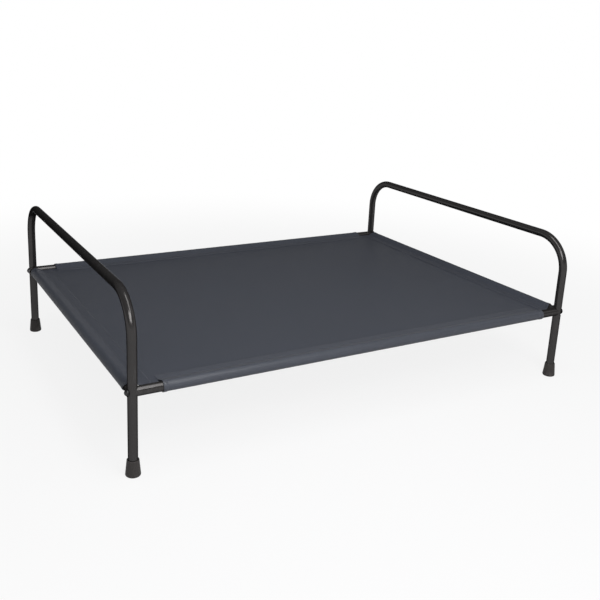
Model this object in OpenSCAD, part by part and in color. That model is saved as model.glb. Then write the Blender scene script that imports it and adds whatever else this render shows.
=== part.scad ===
// Raised dog cot: two bent-tube end hoops, two bolted side rails and a taut cloth sling.
// X runs along the cot, Y across it and Z up. The origin is on the floor, under the middle.

/* [Frame] */
// Distance along the cot between the two hoops, tube axis to tube axis
hoop_spacing = 1250; // [700:10:1500]
// Distance across the cot between a hoop's two legs, tube axis to tube axis
leg_spacing = 915; // [500:5:1100]
// Height of a hoop's top bar above the floor, at its axis
hoop_height = 402; // [340:1:600]
// Bend radius of a hoop's top corners, at the tube's axis
bend_radius = 92; // [45:1:120]
// Height of the side rails and end rails above the floor, at their axes
rail_height = 195; // [120:1:230]
// Outside diameter of all the frame tubes
tube_d = 22; // [19:0.5:26]
// Wall thickness of the frame tubes
tube_wall = 1.5; // [1:0.1:2.5]
// Width of the weld bead round an end rail's end
weld_size = 3.5; // [2:0.1:5]

/* [Bolts] */
// Diameter of the bolts that hold the side rails
bolt_d = 8; // [6:0.5:9]
// Diameter of a bolt's domed head
head_d = 14; // [12:0.5:17]
// Height of a bolt's domed head
head_h = 5; // [3.5:0.1:7]
// Width across the flats of the hexagon socket in a bolt's head
socket_width = 5; // [3:0.5:6]
// Depth of the hexagon socket
socket_depth = 2.6; // [1.5:0.1:3]
// Diameter of the washer under a bolt's head
washer_d = 17; // [15:0.5:19]
// Thickness of the washer
washer_t = 1.6; // [1:0.1:3]
// Length of the threaded plug inside a rail's end
plug_length = 28; // [18:1:45]
// Distance from a rail's saddle cut to its plug
plug_inset = 3; // [1:0.5:10]
// Length of bolt that is screwed into the plug
thread_length = 20; // [10:1:26]

/* [Feet] */
// Diameter of a foot at its widest, near the floor
foot_d = 34; // [29:0.5:40]
// Height of a foot
foot_h = 38; // [25:1:50]
// Rubber under the end of the leg
foot_floor = 5; // [3:0.5:9]
// Wall of the foot's cup at its top
foot_wall = 2.6; // [1.5:0.1:3.2]
// Rounding of the foot's lower edge
foot_round = 3.5; // [1.5:0.1:5]
// Diameter of the hollow in the middle of the sole
sole_d = 16; // [8:0.5:20]
// Depth of the hollow in the sole
sole_depth = 1; // [0.5:0.1:2]

/* [Sling] */
// Thickness of the cloth
cloth_t = 1; // [0.6:0.1:1.4]
// Slack of a casing round its rail
casing_ease = 1; // [0.5:0.1:2]
// Distance from a rail's axis to the seam that closes its casing
seam_reach = 24; // [20:0.5:34]
// Height of the sling's panel above the rails' axes
panel_rise = 3; // [0:0.5:6]
// Width of the hem that is sewn down beside each seam
hem_width = 25; // [15:1:40]
// Bare length of a side rail at each post, from the post's axis to the casing
side_gap = 66; // [40:1:110]
// Bare length of an end rail at each post, from the post's axis to the casing
end_gap = 36; // [26:1:80]
// Rounding of the cut in each of the sling's corners
corner_round = 12; // [4:1:20]
// Width of the hook and loop tapes under an end casing
tape_width = 25; // [15:1:38]
// Thickness of each tape
tape_t = 1.2; // [0.8:0.1:1.6]
// How far the tapes stop short of an end casing's ends
tape_inset = 12; // [4:1:40]

/* [Fits] */
// Room between pieces that seat on one another
seat_gap = 0.1; // [0.05:0.01:0.2]
// Room round a bolt in its holes, on the diameter
bolt_clearance = 0.5; // [0.3:0.1:1]
// Room between a weld bead and the pieces beside it
weld_room = 0.6; // [0.3:0.1:1.5]

/* [Hidden] */
$fn = 64;
tube_r = tube_d / 2;
bore_r = tube_r - tube_wall;
post_x = hoop_spacing / 2;
post_y = leg_spacing / 2;
panel_z = rail_height + panel_rise;
casing_bore_r = tube_r + casing_ease;
casing_r = casing_bore_r + cloth_t;
casing_steps = 32;
tape_stack = 2 * tape_t;
tape_start = seam_reach + cloth_t;
end_casing_length = leg_spacing - 2 * end_gap;
side_casing_length = hoop_spacing - 2 * side_gap;
tape_length = end_casing_length - 2 * tape_inset;
plug_start = tube_r + plug_inset;
bolt_reach = plug_start + thread_length;
washer_start = tube_r + seat_gap;
head_start = washer_start + washer_t;
foot_bore_r = tube_r + seat_gap;
rim_r = foot_bore_r + foot_wall;

frame_black = [0.13, 0.13, 0.135];
bolt_black = [0.09, 0.09, 0.09];
rubber_grey = [0.17, 0.165, 0.165];
plug_zinc = [0.62, 0.63, 0.65];
cloth_grey = [0.28, 0.29, 0.32];
hem_grey = [0.33, 0.34, 0.37];
tape_black = [0.08, 0.08, 0.08];

// A solid rod along an axis, centred on the origin
module rod_x(r, length) {
    rotate([0, 90, 0]) cylinder(r = r, h = length, center = true);
}

module rod_y(r, length) {
    rotate([90, 0, 0]) cylinder(r = r, h = length, center = true);
}

// Stands a shape drawn for the front left corner in the corner with these signs
module at_corner(side, end) {
    mirror([side > 0 ? 1 : 0, 0, 0]) mirror([0, end > 0 ? 1 : 0, 0]) translate([-post_x, -post_y, 0]) children();
}

// The path of a hoop as a solid of radius r: two legs, two bends and the top bar, in the YZ plane
module hoop_path(r, leg_foot) {
    straight_top = hoop_height - bend_radius;
    for (end = [-1, 1]) {
        translate([0, end * post_y, leg_foot]) cylinder(r = r, h = straight_top - leg_foot);
        translate([0, end * (post_y - bend_radius), straight_top])
            rotate([90, 0, end > 0 ? 90 : -90])
            rotate_extrude(angle = 90) translate([bend_radius, 0]) circle(r = r);
    }
    translate([0, 0, hoop_height]) rod_y(r, leg_spacing - 2 * bend_radius);
}

// A bent tube with a bolt hole through each leg at rail height
module hoop(side) {
    color(frame_black) translate([side * post_x, 0, 0]) difference() {
        hoop_path(tube_r, foot_floor + seat_gap);
        hoop_path(bore_r, foot_floor + seat_gap);
        for (end = [-1, 1])
            translate([0, end * post_y, rail_height])
                rod_x((bolt_d + bolt_clearance) / 2, 3 * tube_d);
    }
}

// The weld bead round the end of an end rail. It stops short of the side rail's end on the inside
// and of the bolt's washer on the outside, so it is a stitch over the top and one underneath.
module weld_bead(side, end) {
    reach = tube_r + weld_size;
    translate([side * post_x, end * post_y, rail_height]) difference() {
        intersection() {
            translate([0, -end * reach / 2, 0]) rod_y(reach, reach);
            cylinder(r = reach, h = 2 * tube_d, center = true);
        }
        rod_y(tube_r - tube_wall / 2, 2 * tube_d);
        cylinder(r = tube_r + seat_gap, h = 3 * tube_d, center = true);
        translate([-side * tube_d, 0, 0]) rod_x(tube_r + weld_room, 2 * tube_d);
        translate([side * tube_d, 0, 0]) rod_x(washer_d / 2 + weld_room, 2 * tube_d);
    }
}

// A tube across a hoop, its ends saddle-cut to the legs, welded there and drilled with them for the bolts
module end_rail(side) {
    color(frame_black) union() {
        translate([side * post_x, 0, rail_height]) difference() {
            rod_y(tube_r, leg_spacing);
            rod_y(bore_r, leg_spacing);
            for (end = [-1, 1]) translate([0, end * post_y, 0]) {
                cylinder(r = tube_r + seat_gap, h = 2 * tube_d, center = true);
                rod_x((bolt_d + bolt_clearance) / 2, 2 * tube_d);
            }
        }
        for (end = [-1, 1]) weld_bead(side, end);
    }
}

// A tube along the cot, its ends saddle-cut to the posts and notched round the end rails
module side_rail(end) {
    color(frame_black) translate([0, end * post_y, rail_height]) difference() {
        rod_x(tube_r, hoop_spacing);
        rod_x(bore_r, hoop_spacing);
        for (side = [-1, 1]) translate([side * post_x, 0, 0]) {
            cylinder(r = tube_r + seat_gap, h = 2 * tube_d, center = true);
            translate([0, -end * tube_d, 0]) rod_y(tube_r + seat_gap, 2 * tube_d);
        }
    }
}

// A flared rubber cup with a round lip, a rounded lower edge and a hollow sole
module foot(side, end) {
    base_r = foot_d / 2;
    lip_r = foot_wall / 2;
    color(rubber_grey) at_corner(side, end) rotate_extrude() difference() {
        union() {
            polygon([
                [0, 0], [base_r - foot_round, 0], [base_r, foot_round],
                [rim_r, foot_h - lip_r], [0, foot_h - lip_r]
            ]);
            translate([base_r - foot_round, foot_round]) circle(r = foot_round);
            translate([rim_r - lip_r, foot_h - lip_r]) circle(r = lip_r);
        }
        translate([0, foot_floor]) square([foot_bore_r, foot_h]);
        square([sole_d / 2, sole_depth]);
        translate([-foot_d, -foot_d]) square([foot_d, 3 * foot_d]);
    }
}

// A domed bolt along X, from outside the post into the plug in the rail's end
module bolt(side, end) {
    dome_r = (head_d * head_d / 4 + head_h * head_h) / (2 * head_h);
    color(bolt_black) at_corner(side, end) translate([0, 0, rail_height]) rotate([0, 90, 0]) difference() {
        union() {
            rotate_extrude() intersection() {
                translate([0, -head_start - head_h + dome_r]) circle(r = dome_r);
                translate([0, -head_start - head_h]) square([head_d / 2, head_h]);
            }
            translate([0, 0, -head_start - head_h / 3])
                cylinder(r = bolt_d / 2, h = bolt_reach + head_start + head_h / 3);
        }
        translate([0, 0, -head_start - head_h - 1])
            cylinder(d = socket_width / cos(30), h = socket_depth + 1, $fn = 6);
    }
}

// A flat washer between a bolt's head and the post
module washer(side, end) {
    color(frame_black) at_corner(side, end) translate([-washer_start - washer_t / 2, 0, rail_height]) difference() {
        rod_x(washer_d / 2, washer_t);
        rod_x((bolt_d + bolt_clearance) / 2, 2 * washer_t);
    }
}

// A round plug fixed inside a side rail's end, tapped for the bolt
module plug(side, end) {
    color(plug_zinc) at_corner(side, end) translate([plug_start + plug_length / 2, 0, rail_height]) difference() {
        rod_x(bore_r - seat_gap, plug_length);
        rod_x(bolt_d / 2 + seat_gap, plug_length + 1);
    }
}

// Direction, in degrees, in which a line from point p touches a circle of radius r above or below it
function touch_angle(p, r, up) = atan2(p[1], p[0]) + up * acos(r / norm(p));

// Points along an arc round the rail's axis, from one direction to another
function arc(r, from, to) =
    [for (step = [0:casing_steps]) let (turn = from + (to - from) * step / casing_steps) r * [cos(turn), sin(turn)]];

// A round casing with a straight taper to its two hems, seen along the rail, the panel towards +X.
// The hems lie on the panel's top and at a depth below its underside that leaves room for tapes.
module casing_outline(under_room, under_hem) {
    top = panel_rise + cloth_t / 2;
    bottom = panel_rise - cloth_t / 2 - under_room;
    outer_top = [seam_reach, top + cloth_t];
    outer_bottom = [seam_reach, bottom - cloth_t];
    inner_top = [seam_reach, top];
    inner_bottom = [seam_reach, bottom];
    polygon(concat(
        [outer_top + [hem_width, 0], outer_top],
        arc(casing_r, touch_angle(outer_top, casing_r, 1), 360 + touch_angle(outer_bottom, casing_r, -1)),
        [outer_bottom, outer_bottom + [under_hem, 0], inner_bottom + [under_hem, 0], inner_bottom],
        arc(casing_bore_r, 360 + touch_angle(inner_bottom, casing_bore_r, -1),
            touch_angle(inner_top, casing_bore_r, 1)),
        [inner_top, inner_top + [hem_width, 0]]
    ));
}

// A casing sewn along a long side of the panel
module side_casing(end) {
    color(hem_grey) mirror([0, end > 0 ? 1 : 0, 0])
        translate([-side_casing_length / 2, -post_y, rail_height])
        rotate([90, 0, 90]) linear_extrude(side_casing_length) casing_outline(0, hem_width);
}

// A casing that wraps an end rail and closes under the panel with tapes
module end_casing(side) {
    color(hem_grey) mirror([side > 0 ? 1 : 0, 0, 0])
        translate([-post_x, end_casing_length / 2, rail_height])
        rotate([90, 0, 0]) linear_extrude(end_casing_length)
        casing_outline(tape_stack, tape_start - seam_reach + tape_width + cloth_t);
}

// The flat cloth, its corners cut out round the posts
module sling_panel() {
    color(cloth_grey) translate([0, 0, panel_z - cloth_t / 2]) linear_extrude(cloth_t) difference() {
        square([hoop_spacing - 2 * seam_reach, leg_spacing - 2 * seam_reach], center = true);
        for (side = [-1, 1]) for (end = [-1, 1]) at_corner(side, end) {
            square([side_gap - corner_round, end_gap]);
            square([side_gap, end_gap - corner_round]);
            translate([side_gap - corner_round, end_gap - corner_round]) circle(r = corner_round);
        }
    }
}

// One of the two tapes that hold an end casing closed; layer 1 is sewn to the panel, layer 2 to the casing
module tape(side, layer) {
    color(tape_black) mirror([side > 0 ? 1 : 0, 0, 0])
        translate([-post_x + tape_start, -tape_length / 2, panel_z - cloth_t / 2 - layer * tape_t])
        cube([tape_width, tape_length, tape_t]);
}

hoop(-1);  // left_hoop
hoop(1);  // right_hoop
end_rail(-1);  // left_end_rail
end_rail(1);  // right_end_rail
side_rail(-1);  // front_side_rail
side_rail(1);  // back_side_rail
foot(-1, -1);  // front_left_foot
foot(-1, 1);  // back_left_foot
foot(1, -1);  // front_right_foot
foot(1, 1);  // back_right_foot
bolt(-1, -1);  // front_left_bolt
bolt(-1, 1);  // back_left_bolt
bolt(1, -1);  // front_right_bolt
bolt(1, 1);  // back_right_bolt
washer(-1, -1);  // front_left_washer
washer(-1, 1);  // back_left_washer
washer(1, -1);  // front_right_washer
washer(1, 1);  // back_right_washer
plug(-1, -1);  // front_left_plug
plug(-1, 1);  // back_left_plug
plug(1, -1);  // front_right_plug
plug(1, 1);  // back_right_plug
sling_panel();
side_casing(-1);  // front_casing
side_casing(1);  // back_casing
end_casing(-1);  // left_end_casing
end_casing(1);  // right_end_casing
tape(-1, 1);  // left_loop_tape
tape(1, 1);  // right_loop_tape
tape(-1, 2);  // left_hook_tape
tape(1, 2);  // right_hook_tape
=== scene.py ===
import math

import bmesh
import bpy
from mathutils import Matrix, Vector


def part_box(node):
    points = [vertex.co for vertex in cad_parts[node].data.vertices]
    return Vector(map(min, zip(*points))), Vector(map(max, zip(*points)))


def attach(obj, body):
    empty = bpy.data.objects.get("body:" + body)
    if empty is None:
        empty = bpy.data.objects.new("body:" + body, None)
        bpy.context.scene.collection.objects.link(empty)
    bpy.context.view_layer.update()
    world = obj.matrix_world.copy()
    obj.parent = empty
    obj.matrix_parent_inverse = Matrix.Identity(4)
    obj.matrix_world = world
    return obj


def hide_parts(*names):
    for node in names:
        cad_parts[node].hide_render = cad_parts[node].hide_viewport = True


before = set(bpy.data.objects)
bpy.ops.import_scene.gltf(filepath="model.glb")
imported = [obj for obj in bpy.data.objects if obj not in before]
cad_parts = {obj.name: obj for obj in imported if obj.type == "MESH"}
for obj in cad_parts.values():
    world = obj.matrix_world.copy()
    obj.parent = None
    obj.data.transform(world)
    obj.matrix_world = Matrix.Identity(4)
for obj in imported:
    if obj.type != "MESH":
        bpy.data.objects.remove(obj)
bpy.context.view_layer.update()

# Tube frame: two bent hoops with welded end rails, joined by two bolted side rails, all of steel tube.
# It is coated with black powder, baked to a fine orange-peel skin that rubs a little paler in use.
powder_black = (0.052, 0.0500, 0.0498, 1)
rubbed_grey = (0.094, 0.091, 0.091, 1)
rim_tint = (0.14, 0.14, 0.15, 1)
dust_slopes = (0.35, 1.0)
streak_scales = (90, 90, 22)
rub_ends = (0.3, 0.46)
mask_inputs = [("Place", "NodeSocketVector"), ("Amount", "NodeSocketFloat")]


def fill(tree, socket, value):
    """Wires another node's result into an input, or sets the input to a plain value."""
    if isinstance(value, bpy.types.NodeSocket):
        tree.links.new(value, socket)
    else:
        socket.default_value = value


def put(tree, kind, inputs=(), **settings):
    """Adds a shader node with its settings, and fills the inputs that are given."""
    made = tree.nodes.new("ShaderNode" + kind)
    for name, value in settings.items():
        setattr(made, name, value)
    for name, value in dict(inputs).items():
        fill(tree, made.inputs[name], value)
    return made


def figure(tree, operation, *terms):
    """One step of arithmetic on numbers or on other nodes' results."""
    return put(tree, "Math", enumerate(terms), operation=operation).outputs[0]


def ramp(tree, value, ends=(0.0, 1.0), levels=(0.0, 1.0), **settings):
    """Runs from one level to the other while a result runs between its ends, and is flat outside them."""
    labels = ("From Min", "From Max", "To Min", "To Max")
    inputs = dict(zip(labels, (*ends, *levels)), Value=value)
    return put(tree, "MapRange", inputs, **settings).outputs[0]


def noise(tree, place, scale, detail=2.0):
    """A cloudy pattern between 0 and 1."""
    return put(tree, "TexNoise", {"Vector": place, "Scale": scale, "Detail": detail}).outputs["Fac"]


def stretched(tree, place, factors):
    """A place with each direction multiplied by its own factor, which draws a pattern out."""
    return put(tree, "VectorMath", {0: place, 1: factors}, operation="MULTIPLY").outputs[0]


def axis_of(tree, vector, axis):
    """One of the three numbers of a place or direction."""
    return put(tree, "SeparateXYZ", {"Vector": vector}).outputs[axis]


def object_place(tree):
    """Where a point of the surface is, in metres in the shared frame."""
    return put(tree, "TexCoord").outputs["Object"]


def blend_colours(tree, share, first, second):
    """The first colour where the share is 0, and the second where it is 1."""
    return put(tree, "Mix", {0: share, 6: first, 7: second}, data_type="RGBA").outputs[2]


def effect_group(name, inputs, outputs):
    """An empty shader group with its named sockets, which the materials that share the effect place."""
    group = bpy.data.node_groups.new(name, "ShaderNodeTree")
    for label, kind in inputs:
        group.interface.new_socket(label, in_out="INPUT", socket_type=kind)
    for label in outputs:
        group.interface.new_socket(label, in_out="OUTPUT", socket_type="NodeSocketFloat")
    entry = group.nodes.new("NodeGroupInput").outputs
    return group, entry, group.nodes.new("NodeGroupOutput").inputs


def mask(tree, effect, place, amount):
    """Places a shared effect in a material, and gives the mask of where it shows."""
    return put(tree, "Group", {"Place": place, "Amount": amount}, node_tree=effect).outputs["Mask"]


def finish_material(name, **constants):
    """A new material, its tree and its shader, with the constants set on the shader's own sockets."""
    material = bpy.data.materials.new(name)
    material.use_nodes = True
    shader = material.node_tree.nodes["Principled BSDF"]
    for label, value in constants.items():
        shader.inputs[label.replace("_", " ")].default_value = value
    return material, material.node_tree, shader


def tint(tree, shader, colour, roughness):
    """Gives the shader a colour and a roughness that vary over the surface."""
    fill(tree, shader.inputs["Base Color"], colour)
    fill(tree, shader.inputs["Roughness"], roughness)


def emboss(tree, shader, height, strength, distance, **settings):
    """Gives the shader a fine relief."""
    inputs = {"Height": height, "Strength": strength, "Distance": distance}
    fill(tree, shader.inputs["Normal"], put(tree, "Bump", inputs, **settings).outputs["Normal"])


def cover(material, names):
    """Gives the CAD pieces of these names one finish."""
    for name in names:
        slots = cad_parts[name].data.materials
        slots.clear()
        slots.append(material)


settled_dust, dust_in, dust_out = effect_group("settled_dust", mask_inputs, ["Mask"])
surface_normal = put(settled_dust, "NewGeometry").outputs["Normal"]
upward = ramp(settled_dust, axis_of(settled_dust, surface_normal, "Z"), ends=dust_slopes)
specks = noise(settled_dust, dust_in["Place"], scale=38.0, detail=5.0)
drifts = noise(settled_dust, dust_in["Place"], scale=4.5)
patchy = figure(settled_dust, "MULTIPLY", specks, drifts)
lying = figure(settled_dust, "MULTIPLY", patchy, upward)
fill(settled_dust, dust_out["Mask"], figure(settled_dust, "MULTIPLY", lying, dust_in["Amount"]))

handling_rubs, rubs_in, rubs_out = effect_group("handling_rubs", mask_inputs, ["Mask"])
streaks = stretched(handling_rubs, rubs_in["Place"], streak_scales)
scratches = noise(handling_rubs, streaks, scale=1.0, detail=6.0)
patches = noise(handling_rubs, rubs_in["Place"], scale=7.0)
worn = ramp(handling_rubs, figure(handling_rubs, "MULTIPLY", scratches, patches), ends=rub_ends)
fill(handling_rubs, rubs_out["Mask"], figure(handling_rubs, "MULTIPLY", worn, rubs_in["Amount"]))

powder_coat, tree, shader = finish_material(
    "black_powder_coat", Metallic=0.68, Specular_IOR_Level=0.0, Specular_Tint=rim_tint
)
place = object_place(tree)
dust = mask(tree, settled_dust, place, amount=0.25)
rubs = mask(tree, handling_rubs, place, amount=0.3)
paler = figure(tree, "ADD", dust, rubs)
coat_colour = blend_colours(tree, paler, powder_black, rubbed_grey)
tint(tree, shader, coat_colour, ramp(tree, paler, levels=(0.17, 0.5)))
emboss(tree, shader, noise(tree, place, scale=520.0), strength=0.05, distance=0.0004)
cover(powder_coat, [f"{side}_{piece}" for side in ("left", "right") for piece in ("hoop", "end_rail")])
cover(powder_coat, ["front_side_rail", "back_side_rail"])

# Bolts and washers: four button-head bolts on flat washers, driven through the posts into the side rails.
# They are steel with a black oxide finish, whose turned faces shine a little more than the powder coat.
corners = [f"{depth}_{side}" for depth in ("front", "back") for side in ("left", "right")]
oxide_dark = (0.05, 0.049, 0.05, 1)
oxide_bright = (0.14, 0.138, 0.14, 1)
black_oxide, tree, shader = finish_material("black_oxide", Metallic=0.9, Specular_Tint=rim_tint)
place = object_place(tree)
rubs = mask(tree, handling_rubs, place, amount=0.8)
turning = noise(tree, place, scale=900.0, detail=3.0)
oxide_colour = blend_colours(tree, rubs, oxide_dark, oxide_bright)
tint(tree, shader, oxide_colour, ramp(tree, turning, levels=(0.26, 0.44)))
emboss(tree, shader, turning, strength=0.12, distance=0.0002)
cover(black_oxide, [f"{corner}_{piece}" for corner in corners for piece in ("bolt", "washer")])

# Threaded plugs: turned steel slugs pressed into the ends of the side rails, where the bolts screw in.
# They are bright zinc plated and show only when a rail is taken off.
zinc_pale = (0.56, 0.57, 0.58, 1)
zinc_dull = (0.34, 0.35, 0.37, 1)
zinc_plate, tree, shader = finish_material("zinc_plate", Metallic=1.0)
spangle_cells = put(tree, "TexVoronoi", {"Vector": object_place(tree), "Scale": 240.0})
spangle = spangle_cells.outputs["Distance"]
zinc_colour = blend_colours(tree, spangle, zinc_dull, zinc_pale)
tint(tree, shader, zinc_colour, ramp(tree, spangle, levels=(0.28, 0.46)))
cover(zinc_plate, [f"{corner}_plug" for corner in corners])

# Feet: four moulded rubber cups pushed on to the leg ends, wider at the sole, with a soft rounded edge.
# The black rubber is matt, warm in tone, and greyed with floor dust towards the sole.
rubber_black = (0.029, 0.0255, 0.0245, 1)
rubber_dusty = (0.11, 0.099, 0.095, 1)
dusty_share = 0.6
foot_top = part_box("front_left_foot")[1].z
foot_rubber, tree, shader = finish_material("foot_rubber", Specular_IOR_Level=0.35)
place = object_place(tree)
near_floor = ramp(tree, axis_of(tree, place, "Z"), ends=(foot_top * dusty_share, 0.0))
rubs = mask(tree, handling_rubs, place, amount=0.9)
dust = mask(tree, settled_dust, place, amount=0.7)
greyed = figure(tree, "ADD", figure(tree, "MULTIPLY", near_floor, rubs), dust)
grain = noise(tree, place, scale=650.0, detail=4.0)
rubber_colour = blend_colours(tree, greyed, rubber_black, rubber_dusty)
tint(tree, shader, rubber_colour, ramp(tree, grain, levels=(0.55, 0.8)))
emboss(tree, shader, grain, strength=0.2, distance=0.0005)
cover(foot_rubber, [f"{corner}_foot" for corner in corners])

# Sling panel: one flat sheet of grey polyester cloth in plain weave, stretched between the four rails.
# It hangs a few millimetres in the middle, and its corners are cut out round the posts.
# A corner is named by its end (-1 left, 1 right) and its side (-1 front, 1 back).
rail_low, rail_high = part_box("front_side_rail")
hoop_low, hoop_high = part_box("right_hoop")
side_rail_y = -(rail_low.y + rail_high.y) / 2
end_rail_x = (hoop_low.x + hoop_high.x) / 2
panel_low, panel_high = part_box("sling_panel")
half_length = panel_high.x
half_width = panel_high.y
panel_height = (panel_low.z + panel_high.z) / 2
cloth_thickness = panel_high.z - panel_low.z
pressed_share = 0.3
cut_edge_angle = math.radians(50)
notch_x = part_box("front_casing")[1].x
notch_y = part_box("left_end_casing")[1].y
notch_depth = 0.0165
notch_turn = 0.003
tongue_gaps = {(-1, -1): 0.0125, (-1, 1): 0.022, (1, -1): 0.0165, (1, 1): 0.024}
tongue_ends = (0.038, 0.066)
middle_sag = 0.004
ripple_height = 0.00035
ripple_rate = 58
ripple_wander = 1.7
wander_rate = 3.1
corner_pull = 0.0006
pull_reach = 0.085
fold_count = 9
fold_turn = 0.6
fold_start = 0.03
fold_fade = 12
fine_step = 0.003
coarse_step = 0.010
side_band = 0.030
end_band = 0.054


def cloth_drop(x, y):
    """How far the stretched cloth lies below its seams, with faint folds that fan out at the corners."""
    slack = (1 - (x / half_length) ** 2) * (1 - (y / half_width) ** 2)
    ripple = math.sin(ripple_rate * y + ripple_wander * math.sin(wander_rate * x))
    lengthwise = ripple_height * ripple * (x / half_length) ** 2 * slack
    away_x = abs(x) - notch_x
    away_y = abs(y) - notch_y
    reach = math.hypot(away_x, away_y)
    fan = math.cos(fold_count * math.atan2(away_y, away_x) + fold_turn) * reach / (reach + fold_start)
    folds = corner_pull * fan * math.exp(-reach / pull_reach) * min(1, fold_fade * max(slack, 0))
    return -middle_sag * slack + lengthwise + folds


def graded(limit, band):
    """Places from one edge to the other, with fine steps in a band along both edges."""
    inner = limit - band
    fine_count = round(band / fine_step)
    coarse_count = round(2 * inner / coarse_step)
    places = [-limit + band * step / fine_count for step in range(fine_count)]
    places += [-inner + 2 * inner * step / coarse_count for step in range(coarse_count)]
    return places + [inner + band * step / fine_count for step in range(fine_count + 1)]


def pick(piece):
    """Makes one piece the only one that operators act on."""
    bpy.ops.object.select_all(action="DESELECT")
    piece.select_set(True)
    bpy.context.view_layer.objects.active = piece


def new_piece(name, mesh):
    """Puts a mesh into the scene as a piece of its own."""
    piece = bpy.data.objects.new(name, mesh)
    bpy.context.collection.objects.link(piece)
    return piece


def woven_sheet(name, rows, flat_rows):
    """A sheet from rows of points, with its flat measure in metres as the map that its weave follows."""
    form = bmesh.new()
    weave_map = form.loops.layers.uv.new("weave")
    grid = [[form.verts.new(point) for point in row] for row in rows]
    for across in range(len(rows) - 1):
        for along in range(len(rows[0]) - 1):
            spots = ((across, along), (across, along + 1), (across + 1, along + 1), (across + 1, along))
            face = form.faces.new([grid[i][j] for i, j in spots])
            for loop, (i, j) in zip(face.loops, spots):
                loop[weave_map].uv = flat_rows[i][j]
    mesh = bpy.data.meshes.new(name)
    form.to_mesh(mesh)
    form.free()
    return new_piece(name, mesh)


def thicken(piece, thickness, pressed=()):
    """Gives a sheet its thickness, less at its pressed points, and smooths it between its cut edges."""
    pick(piece)
    wall = piece.modifiers.new("thickness", "SOLIDIFY")
    wall.thickness = thickness
    wall.offset = 0
    wall.use_even_offset = True
    full = piece.vertex_groups.new(name="full_thickness")
    full.add(range(len(piece.data.vertices)), 1.0, "REPLACE")
    full.add(pressed, pressed_share, "REPLACE")
    wall.vertex_group = full.name
    bpy.ops.object.modifier_apply(modifier=wall.name)
    piece.vertex_groups.clear()
    bpy.ops.object.shade_smooth_by_angle(angle=cut_edge_angle)


def as_laid(rows):
    """The flat measure of a sheet that lies level: each point's own place from above."""
    return [[(point.x, point.y) for point in row] for row in rows]


def eased(share):
    """A share from 0 to 1 with a soft start and end."""
    share = min(1, max(0, share))
    return share * share * (3 - 2 * share)


def side_of(place):
    """Which half of the cot a place is in, as 1 or -1."""
    return 1 if place > 0 else -1


def cut_gap(inward, corner):
    """How far the corner's cut lies from the side rail's axis, some way in from the end rail's axis."""
    first, last = tongue_ends
    along_cut = eased((inward - first) / (last - first))
    return tongue_gaps[corner] + (notch_depth - tongue_gaps[corner]) * along_cut


def panel_edge(x, side):
    """Where the panel's long edge is: the seam between the notches, and the cut beside an end rail."""
    in_notch = eased((notch_x + notch_turn / 2 - abs(x)) / notch_turn + 0.5)
    cut = side_rail_y - cut_gap(end_rail_x - abs(x), (side_of(x), side))
    return cut + (half_width - cut) * in_notch


panel_rows = []
for across in graded(half_width, side_band):
    row = []
    for x in graded(half_length, end_band):
        y = across * panel_edge(x, side_of(across)) / half_width
        row.append(Vector((x, y, panel_height + cloth_drop(x, y))))
    panel_rows.append(row)
sling_cloth = woven_sheet("sling_cloth", panel_rows, as_laid(panel_rows))
thicken(sling_cloth, cloth_thickness)

weave_pitch = 0.0012
yarn_arch = -0.6
yarn_round = -1.0
yarn_run = 9.0
yarn_count = 620.0
yarn_share = 0.3
cloud_share = 0.4
yarn_tone = 0.7
crown_light = 0.5
gap_shade = 0.1
lint_grey = (0.16, 0.165, 0.17, 1)
weave_inputs = [("Place", "NodeSocketVector"), ("Pitch", "NodeSocketFloat")]
plain_weave, weave_in, weave_out = effect_group("plain_weave", weave_inputs, ["Height", "Yarn"])


def weave_figure(operation, *terms):
    """One step of the weave's arithmetic."""
    return figure(plain_weave, operation, *terms)


def yarn_crown(along, across):
    """One yarn's height where it passes over: arched along the yarn, and round across it."""
    falls = []
    for turn, depth in ((along, yarn_arch), (across, yarn_round)):
        away = weave_figure("MULTIPLY_ADD", weave_figure("FRACT", turn), 2.0, -1.0)
        falls.append(weave_figure("MULTIPLY_ADD", weave_figure("MULTIPLY", away, away), depth, 1.0))
    return weave_figure("MULTIPLY", *falls)


laid = put(plain_weave, "SeparateXYZ", {"Vector": weave_in["Place"]}).outputs
warp = weave_figure("DIVIDE", laid["X"], weave_in["Pitch"])
weft = weave_figure("DIVIDE", laid["Y"], weave_in["Pitch"])
crossing = weave_figure("ADD", weave_figure("FLOOR", warp), weave_figure("FLOOR", weft))
over = weave_figure("FLOORED_MODULO", crossing, 2.0)
under = weave_figure("SUBTRACT", 1.0, over)
warp_over = weave_figure("MULTIPLY", yarn_crown(warp, weft), over)
weft_over = weave_figure("MULTIPLY", yarn_crown(weft, warp), under)
fill(plain_weave, weave_out["Height"], weave_figure("ADD", warp_over, weft_over))
yarn_tones = []
for stretch in ((yarn_run, yarn_count, 0.0), (yarn_count, yarn_run, 0.0)):
    drawn_out = stretched(plain_weave, weave_in["Place"], stretch)
    yarn_tones.append(noise(plain_weave, drawn_out, scale=1.0))
cloudy = noise(plain_weave, weave_in["Place"], scale=5.0, detail=4.0)
yarn_pair = weave_figure("MULTIPLY", weave_figure("ADD", *yarn_tones), yarn_share)
fill(plain_weave, weave_out["Yarn"], weave_figure("MULTIPLY_ADD", cloudy, cloud_share, yarn_pair))


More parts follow.
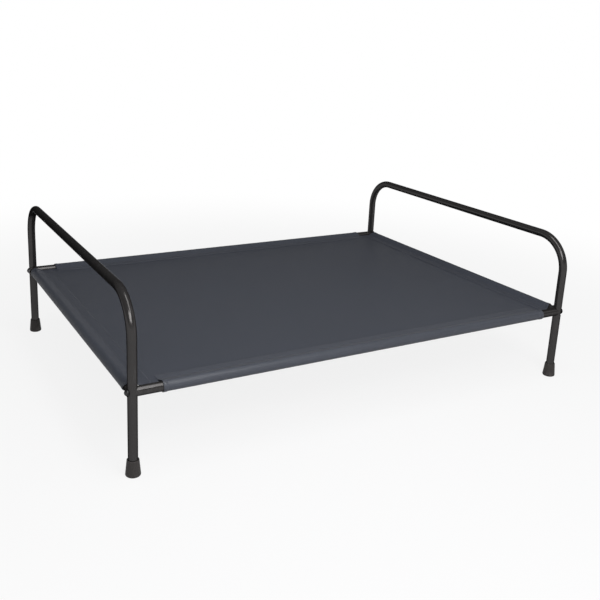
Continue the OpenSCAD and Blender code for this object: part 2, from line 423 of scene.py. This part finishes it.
def woven_finish(name, dark, pale, **constants):
    """Polyester cloth: tone that varies from yarn to yarn, with painted shade between the yarns, and lint
    on it.
    """
    material, tree, shader = finish_material(name, Specular_IOR_Level=0.14, **constants)
    flat = put(tree, "UVMap", uv_map="weave").outputs["UV"]
    weave = put(tree, "Group", {"Place": flat, "Pitch": weave_pitch}, node_tree=plain_weave).outputs
    # Painted shade and light: the gaps between the yarns are painted darker and the yarn crowns paler.
    lit = figure(tree, "MULTIPLY_ADD", weave["Height"], crown_light, gap_shade)
    tone = figure(tree, "MULTIPLY_ADD", weave["Yarn"], yarn_tone, lit)
    lint = mask(tree, settled_dust, object_place(tree), amount=0.05)
    linty = blend_colours(tree, lint, blend_colours(tree, tone, dark, pale), lint_grey)
    tint(tree, shader, linty, ramp(tree, weave["Yarn"], levels=(0.42, 0.62)))
    emboss(tree, shader, weave["Height"], strength=0.5, distance=0.0002)
    return material, tree, shader, flat


panel_dark = (0.0185, 0.0205, 0.0265, 1)
panel_pale = (0.050, 0.0555, 0.0715, 1)
panel_weave = woven_finish("panel_weave", panel_dark, panel_pale)[0]
sling_cloth.data.materials.append(panel_weave)
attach(sling_cloth, "root")
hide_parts("sling_panel")

# Side casings: a strip of the same cloth folded round each side rail and sewn to the panel's long edge.
# The strip is a tight sleeve with a turned hem at each mouth, and its edges lie over and under the panel.
# It is pulled smooth over the outer side of the rail and shines there a little; its tone is painted paler
# as painted light.
rail_height = (rail_low.z + rail_high.z) / 2
seam_reach = side_rail_y - half_width
seam_lift = panel_height + cloth_thickness - rail_height
under_panel = panel_height - cloth_thickness - rail_height
hem_width = 0.025
hem_steps = 6
press_width = 0.0011
sleeve_radius = 0.0122
sleeve_shift = 0.0006
turn_steps = 34
tongue_steps = 26
flank_shares = (0.25, 0.5, 0.75)
hem_slack = 0.1
flank_slack = 1.0
tube_slack = 0.35
pucker_waves = ((0.0131, 0.30), (0.0217, 0.34), (0.0389, 0.30), (0.0913, 0.26))
pucker_twist = 2.3
pucker_phase = 9
pucker_rate = 40
pucker_height = 0.00045
mouth_pucker = 0.25
settle_length = 0.03
mouth_hem = 0.0085
mouth_lift = 0.0007
mouth_ramp = 0.0006
mouth_places = (0, 0.0008, 0.003, 0.0055, mouth_hem - mouth_ramp, mouth_hem + mouth_ramp, 0.012, 0.017)
sleeve_step = 0.006
tongue_length = 0.09
# Painted light: the side strips are a paler, lit copy of the panel's cloth colours.
lit_strip_dark = (0.0225, 0.0247, 0.0310, 1)
lit_strip_pale = (0.062, 0.068, 0.085, 1)
gloss_start = (0.048, 0.056)
gloss_end = (0.080, 0.066)
gloss_weight = 0.42


def sleeve_section(under_lift, under_hem):
    """The section round the tube, from hem to hem, as (inward, upward, slack, tongue share)."""
    centre = Vector((sleeve_shift, 0))
    seams = [Vector((seam_reach, seam_lift)), Vector((seam_reach, under_lift))]
    angles = []
    for seam, side in zip(seams, (1, -1)):
        way = seam - centre
        angles.append(math.atan2(way.y, way.x) + side * math.acos(sleeve_radius / way.length))
    start, end = angles[0], angles[1] + 2 * math.pi
    turns = [start + (end - start) * step / turn_steps for step in range(turn_steps + 1)]
    touches = [centre + sleeve_radius * Vector((math.cos(turn), math.sin(turn))) for turn in turns]
    sunk = (1 - pressed_share) * cloth_thickness / 2
    over_hem = [(hem_width, seam_lift - sunk), (hem_width - press_width, seam_lift)]
    over_hem += [(hem_width * (1 - step / hem_steps), seam_lift) for step in range(1, hem_steps + 1)]
    low_hem = [(under_hem * step / hem_steps, under_lift) for step in range(hem_steps)]
    low_hem += [(under_hem - press_width, under_lift), (under_hem, under_lift + sunk)]
    over_flank = [seams[0].lerp(touches[0], share) for share in flank_shares]
    low_flank = [touches[-1].lerp(seams[1], share) for share in flank_shares]
    section = [(seam_reach + width, height, hem_slack, 1.0) for width, height in over_hem]
    section += [(*point, flank_slack, 1.0) for point in over_flank]
    for step, point in enumerate(touches):
        section.append((*point, tube_slack, eased(1 - step / tongue_steps)))
    section += [(*point, flank_slack, 0.0) for point in low_flank]
    return section + [(seam_reach + width, height, hem_slack, 0.0) for width, height in low_hem]


def puckers(along, round_turn):
    """Small slack left between the stitches and the tube, as a sum of waves of unequal length."""
    height = 0
    for length, weight in pucker_waves:
        phase = pucker_twist * round_turn + pucker_phase * weight
        height += weight * math.sin(2 * math.pi * along / length + phase)
    return height


def sleeve_places(length):
    """Places along a sleeve, close together at both mouths."""
    last = mouth_places[-1]
    body_length = length - 2 * last
    body_count = round(body_length / sleeve_step)
    body = [last + body_length * step / body_count for step in range(1, body_count)]
    return [*mouth_places, *body, *[length - step for step in reversed(mouth_places)]]


def sleeve(name, section, reach, to_frame, tongue=None):
    """Sweeps a section along its rail, with a turned hem and the corner's tongue at both mouths."""
    walked = [0.0]
    for before, after in zip(section, section[1:]):
        walked.append(walked[-1] + math.hypot(after[0] - before[0], after[1] - before[1]))
    rows = []
    flat_rows = []
    for from_start in sleeve_places(2 * reach):
        from_mouth = min(from_start, 2 * reach - from_start)
        along = from_start - reach
        turned_hem = min(1, max(0, (mouth_hem + mouth_ramp - from_mouth) / (2 * mouth_ramp)))
        settled = mouth_pucker + (1 - mouth_pucker) * min(1, from_mouth / settle_length)
        row = []
        for index, (inward, upward, slack, tongue_share) in enumerate(section):
            before = section[max(index - 1, 0)]
            after = section[min(index + 1, len(section) - 1)]
            run = Vector((after[0] - before[0], after[1] - before[1])).normalized()
            out = pucker_height * slack * settled * puckers(along, pucker_rate * walked[index])
            if inward < seam_reach:
                out += mouth_lift * turned_hem
            reached = along
            if tongue:
                share = tongue_share * eased(1 - from_mouth / tongue_length)
                reached += math.copysign(1, along) * share * tongue(inward, along)
            point = to_frame(reached, inward + run.y * out, upward - run.x * out)
            if inward > seam_reach:
                point.z += cloth_drop(point.x, point.y)
            row.append(point)
        rows.append(row)
        flat_rows.append([(along, step) for step in walked])
    piece = woven_sheet(name, rows, flat_rows)
    columns = len(section)
    firsts = [row * columns for row in range(len(rows))]
    thicken(piece, cloth_thickness, [*firsts, *[first + columns - 1 for first in firsts]])
    return piece, walked[-1]


def beside_side_rail(sign):
    """What turns (along, inward, upward) from a side rail's axis into a place in the frame."""
    def to_frame(along, inward, upward):
        return Vector((along, sign * (side_rail_y - inward), rail_height + upward))

    return to_frame


def fit_casing(casing, name, finish):
    """Gives a sewn casing its cloth, and puts it in the place of its CAD solid."""
    casing.data.materials.append(finish)
    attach(casing, "root")
    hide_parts(name)


# Painted light: the side strips take the paler, lit copy of the cloth, with a gloss band over the rail.
casing_weave, tree, shader, flat = woven_finish(
    "casing_weave", lit_strip_dark, lit_strip_pale, Coat_Roughness=0.36
)
across_strip = axis_of(tree, flat, "Y")
rising = ramp(tree, across_strip, ends=gloss_start, levels=(0.0, gloss_weight))
falling = ramp(tree, across_strip, ends=gloss_end)
fill(tree, shader.inputs["Coat Weight"], figure(tree, "MULTIPLY", rising, falling))
side_rails = {"front_casing": beside_side_rail(-1), "back_casing": beside_side_rail(1)}
side_section = sleeve_section(under_panel, hem_width)
casings = {}
strip_widths = {}
for name, to_frame in side_rails.items():
    casing, strip_widths[name] = sleeve(f"{name}_cloth", side_section, notch_x, to_frame)
    fit_casing(casing, name, casing_weave)
    casings[name] = casing

# End casings: the short ends of the sling wrap round the welded end rails and close underneath.
# A flap of the same cloth comes back under the panel, where hook and loop tape holds it.
# The cloth reaches past the cut towards each post, and least over the rail at the front right.
tape_thickness = 0.0012
flap_lift = under_panel - 2 * tape_thickness
flap_width = 0.027
notch_gap = side_rail_y - notch_y
sleeve_shares = {(-1, -1): 1.0, (-1, 1): 1.0, (1, -1): 0.3, (1, 1): 1.0}


def beside_end_rail(sign):
    """What turns (along, inward, upward) from an end rail's axis into a place in the frame."""
    def to_frame(along, inward, upward):
        return Vector((sign * (end_rail_x - inward), along, rail_height + upward))

    return to_frame


def corner_tongue(sign):
    """How far the cloth of one end reaches past its plain end, some way in from the end rail's axis."""
    def tongue(inward, along):
        corner = (sign, side_of(along))
        over_rail = min(1, max(0, 1 - inward / seam_reach))
        kept = 1 - (1 - sleeve_shares[corner]) * over_rail
        return kept * (notch_gap - cut_gap(inward, corner))

    return tongue


end_section = sleeve_section(flap_lift, flap_width)
end_rails = {}
for side, sign in (("left", -1), ("right", 1)):
    name = f"{side}_end_casing"
    end_rails[name] = beside_end_rail(sign)
    casing, strip_widths[name] = sleeve(
        f"{name}_cloth", end_section, notch_y, end_rails[name], corner_tongue(sign)
    )
    fit_casing(casing, name, panel_weave)
    casings[name] = casing

# Hook and loop tapes: two strips at each end, the loop strip sewn under the panel and the hook strip on
# the flap. Both are woven nylon tape, one with a soft nap and the other with rows of stiff little hooks.
nap_black = (0.012, 0.012, 0.013, 1)
nap_grey = (0.045, 0.046, 0.05, 1)
tape_gap = 0.00005
tape_steps_across = 6
tape_steps_along = 160


def napped_tape(name, scale, rough):
    """Black nylon tape with a fine pile of loops or hooks."""
    material, tree, shader = finish_material(name, Specular_IOR_Level=0.3, Sheen_Weight=0.15)
    pile_cells = put(tree, "TexVoronoi", {"Vector": object_place(tree), "Scale": scale})
    pile = pile_cells.outputs["Distance"]
    pile_colour = blend_colours(tree, pile, nap_grey, nap_black)
    tint(tree, shader, pile_colour, ramp(tree, pile, levels=(rough, 0.95)))
    emboss(tree, shader, pile, strength=0.7, distance=0.0006, invert=True)
    return material


def even_places(low, high, count):
    """Places at even steps from low to high."""
    return [low + (high - low) * step / count for step in range(count + 1)]


tapes = {}
tape_finishes = {
    "loop": napped_tape("loop_nap", scale=900.0, rough=0.8),
    "hook": napped_tape("hook_pile", scale=620.0, rough=0.5),
}
for side in ("left", "right"):
    for kind, finish in tape_finishes.items():
        name = f"{side}_{kind}_tape"
        tape_low, tape_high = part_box(name)
        middle = (tape_low.z + tape_high.z) / 2
        crossings = even_places(tape_low.x, tape_high.x, tape_steps_across)
        rows = []
        for y in even_places(tape_low.y, tape_high.y, tape_steps_along):
            rows.append([Vector((x, y, middle + cloth_drop(x, y))) for x in crossings])
        tape = woven_sheet(f"{name}_strip", rows, as_laid(rows))
        thicken(tape, tape_thickness - tape_gap)
        tape.data.materials.append(finish)
        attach(tape, "root")
        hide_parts(name)
        tapes[name] = tape

# Stitching: two rows of lockstitch along each hem, above and below, one by the seam and one by the edge.
# The thread is bonded polyester, much the tone of the cloth, and is pulled into it at each needle hole.
thread_radius = 0.00032
thread_dark = (0.032, 0.034, 0.04, 1)
thread_pale = (0.066, 0.070, 0.082, 1)
stitch_pitch = 0.0045
stitch_length = 0.0036
stitch_shoulder = 0.32
stitch_tip = 0.45
tip_flatness = 0.7
tip_sink = 1.3
crown_rise = 0.25
row_inset = 0.002
flap_row_inset = 0.003
row_margin = 0.004
bpy.ops.object.select_all(action="DESELECT")
bpy.ops.mesh.primitive_cylinder_add(
    vertices=6, radius=thread_radius, depth=stitch_length, rotation=(0, math.pi / 2, 0)
)
stitch = bpy.context.object
bpy.ops.object.transform_apply(location=True, rotation=True, scale=True)
bpy.ops.object.mode_set(mode="EDIT")
for cut in (-stitch_shoulder, stitch_shoulder):
    bpy.ops.mesh.select_all(action="SELECT")
    bpy.ops.mesh.bisect(plane_co=(cut * stitch_length, 0, 0), plane_no=(1, 0, 0))
bpy.ops.object.mode_set(mode="OBJECT")
for vert in stitch.data.vertices:
    if abs(vert.co.x) > stitch_tip * stitch_length:
        vert.co.z = vert.co.z * tip_flatness - tip_sink * thread_radius
    else:
        vert.co.z += crown_rise * thread_radius
pick(stitch)
bpy.ops.object.shade_smooth()

thread_finish, tree, shader = finish_material("sewing_thread", Specular_IOR_Level=0.4, Sheen_Weight=0.1)
twist = noise(tree, object_place(tree), scale=1400.0)
thread_colour = blend_colours(tree, twist, thread_dark, thread_pale)
tint(tree, shader, thread_colour, ramp(tree, twist, levels=(0.4, 0.62)))
emboss(tree, shader, twist, strength=0.4, distance=0.0002)


def sewn_rows(name, reach, to_frame, rows):
    """Copies the stitch along straight rows at (inward, upward, side), into one piece."""
    points = []
    faces = []
    count = int((2 * reach - row_margin) / stitch_pitch)
    for inward, upward, side in rows:
        for step in range(count):
            along = (step - (count - 1) / 2) * stitch_pitch
            spot = to_frame(along, inward, upward)
            spot.z += cloth_drop(spot.x, spot.y)
            run = (to_frame(along + 1, inward, upward) - to_frame(along, inward, upward)).normalized()
            rise = Vector((0, 0, side))
            turn = Matrix((run, rise.cross(run), rise)).transposed().to_4x4()
            to_row = Matrix.Translation(spot) @ turn
            first = len(points)
            points += [to_row @ vert.co for vert in stitch.data.vertices]
            faces += [[first + corner for corner in face.vertices] for face in stitch.data.polygons]
    mesh = bpy.data.meshes.new(name)
    mesh.from_pydata(points, [], faces)
    piece = new_piece(name, mesh)
    pick(piece)
    bpy.ops.object.shade_smooth()
    piece.data.materials.append(thread_finish)
    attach(piece, "root")
    return piece


half_cloth = cloth_thickness / 2
row_places = [seam_reach + inset for inset in (row_inset, hem_width - row_inset)]
flap_places = [seam_reach + inset for inset in (flap_row_inset, flap_width - row_inset)]
over_rows = [(inward, seam_lift + half_cloth, 1) for inward in row_places]
side_rows = over_rows + [(inward, under_panel - half_cloth, -1) for inward in row_places]
end_rows = over_rows + [(inward, flap_lift - half_cloth, -1) for inward in flap_places]
stitching = {}
for rails, reach, rows in ((side_rails, notch_x, side_rows), (end_rails, notch_y, end_rows)):
    for name, to_frame in rails.items():
        stitching[name] = sewn_rows(f"{name}_stitching", reach, to_frame, rows)
bpy.data.objects.remove(stitch)

# Carried pieces: for each casing strip, a list of its stitching and, at the ends, its tapes; the lists
# are not used further.
for name, casing in casings.items():
    carried = [stitching[name]]
    if name in end_rails:
        carried += [tape for label, tape in tapes.items() if label.startswith(name.split("_")[0])]

# Studio: a wide pale floor under a white surround, with soft lamps in front, overhead and to the right.
# The lamps and an even fill together give a plain level, and the floor keeps the soft shadow of the cot.
floor_grey = (0.6, 0.6, 0.61, 1)
plain_white = (1, 1, 1, 1)
floor_ends = (0.9, 2.4)
floor_levels = (0.86, 1.0)
fill_level = 0.25
ceiling_level = 0.25
wall_ends = (0.1, 0.26)


def seen_plainly(tree):
    """1 for what the camera sees, directly, mirrored or through glass, and 0 for light on the cot."""
    paths = put(tree, "LightPath").outputs
    seen = figure(tree, "MAXIMUM", paths["Is Camera Ray"], paths["Is Glossy Ray"])
    return figure(tree, "MAXIMUM", seen, paths["Is Transmission Ray"])


bpy.ops.object.select_all(action="DESELECT")
bpy.ops.mesh.primitive_circle_add(vertices=96, radius=40, fill_type="NGON")
floor = bpy.context.object
floor.name = "studio_floor"
pale_floor = bpy.data.materials.new("pale_floor")
pale_floor.use_nodes = True
tree = pale_floor.node_tree
tree.nodes.clear()
away = put(tree, "VectorMath", {0: object_place(tree)}, operation="LENGTH").outputs["Value"]
whiter = ramp(tree, away, floor_ends, floor_levels, interpolation_type="SMOOTHSTEP")
share = figure(tree, "MULTIPLY", seen_plainly(tree), whiter)
lit_floor = put(tree, "BsdfDiffuse", {"Color": floor_grey}).outputs[0]
white_floor = put(tree, "Emission", {"Color": plain_white, "Strength": 1.0}).outputs[0]
floor_mix = put(tree, "MixShader", {0: share, 1: lit_floor, 2: white_floor})
put(tree, "OutputMaterial", {"Surface": floor_mix.outputs[0]})
floor.data.materials.append(pale_floor)

surround = bpy.data.worlds.new("white_surround")
bpy.context.scene.world = surround
surround.use_nodes = True
tree = surround.node_tree
tree.nodes.clear()
way_up = axis_of(tree, put(tree, "TexCoord").outputs["Generated"], "Z")
wall_band = ramp(tree, way_up, wall_ends, (1.0, ceiling_level), interpolation_type="SMOOTHSTEP")
shown = figure(tree, "MULTIPLY", seen_plainly(tree), figure(tree, "SUBTRACT", wall_band, fill_level))
level = figure(tree, "ADD", shown, fill_level)
light = put(tree, "Background", {"Color": plain_white, "Strength": level})
put(tree, "OutputWorld", {"Surface": light.outputs[0]})


def soft_lamp(name, place, aim, size, power):
    """A rectangular soft lamp at a place, turned to what it lights."""
    lamp = bpy.data.lights.new(name, "AREA")
    lamp.shape = "RECTANGLE"
    lamp.size, lamp.size_y = size
    lamp.energy = power
    holder = bpy.data.objects.new(name, lamp)
    bpy.context.collection.objects.link(holder)
    holder.location = place
    holder.rotation_mode = "QUATERNION"
    holder.rotation_quaternion = (Vector(aim) - Vector(place)).to_track_quat("-Z", "Y")


soft_lamp("front_lamp", place=(-0.75, -2.05, 1.55), aim=(-0.3, -0.45, 0.2), size=(1.3, 0.9), power=28)
soft_lamp("overhead_lamp", place=(-0.1, -1.15, 1.9), aim=(-0.15, -0.6, 0.2), size=(0.8, 2.1), power=27)
soft_lamp("right_lamp", place=(2.5, -1.1, 1.9), aim=(0.6, -0.2, 0.2), size=(1.1, 1.1), power=3)

# Camera: a standard lens a little above the cot, off its front left corner.
# It is turned slightly about its own axis, as the hand that held it was.
camera_place = Vector((-1.1232, -1.9317, 0.9458))
camera_turn = -0.5193
camera_rise = 0.2695
camera_roll = 0.0421
backward = Vector((
    math.sin(camera_turn) * math.cos(camera_rise),
    -math.cos(camera_turn) * math.cos(camera_rise),
    math.sin(camera_rise),
))
level_right = Vector((0, 0, 1)).cross(backward).normalized()
level_up = backward.cross(level_right)
right = math.cos(camera_roll) * level_right + math.sin(camera_roll) * level_up
up = math.cos(camera_roll) * level_up - math.sin(camera_roll) * level_right
lens = bpy.data.cameras.new("camera")
lens.sensor_width = 36
lens.lens = 48.1
lens.shift_x = 0.03
lens.shift_y = -0.09
camera = bpy.data.objects.new("camera", lens)
bpy.context.collection.objects.link(camera)
turned = Matrix((right, up, backward)).transposed().to_4x4()
camera.matrix_world = Matrix.Translation(camera_place) @ turned
bpy.context.scene.camera = camera
bpy.context.scene.view_settings.view_transform = "Standard"
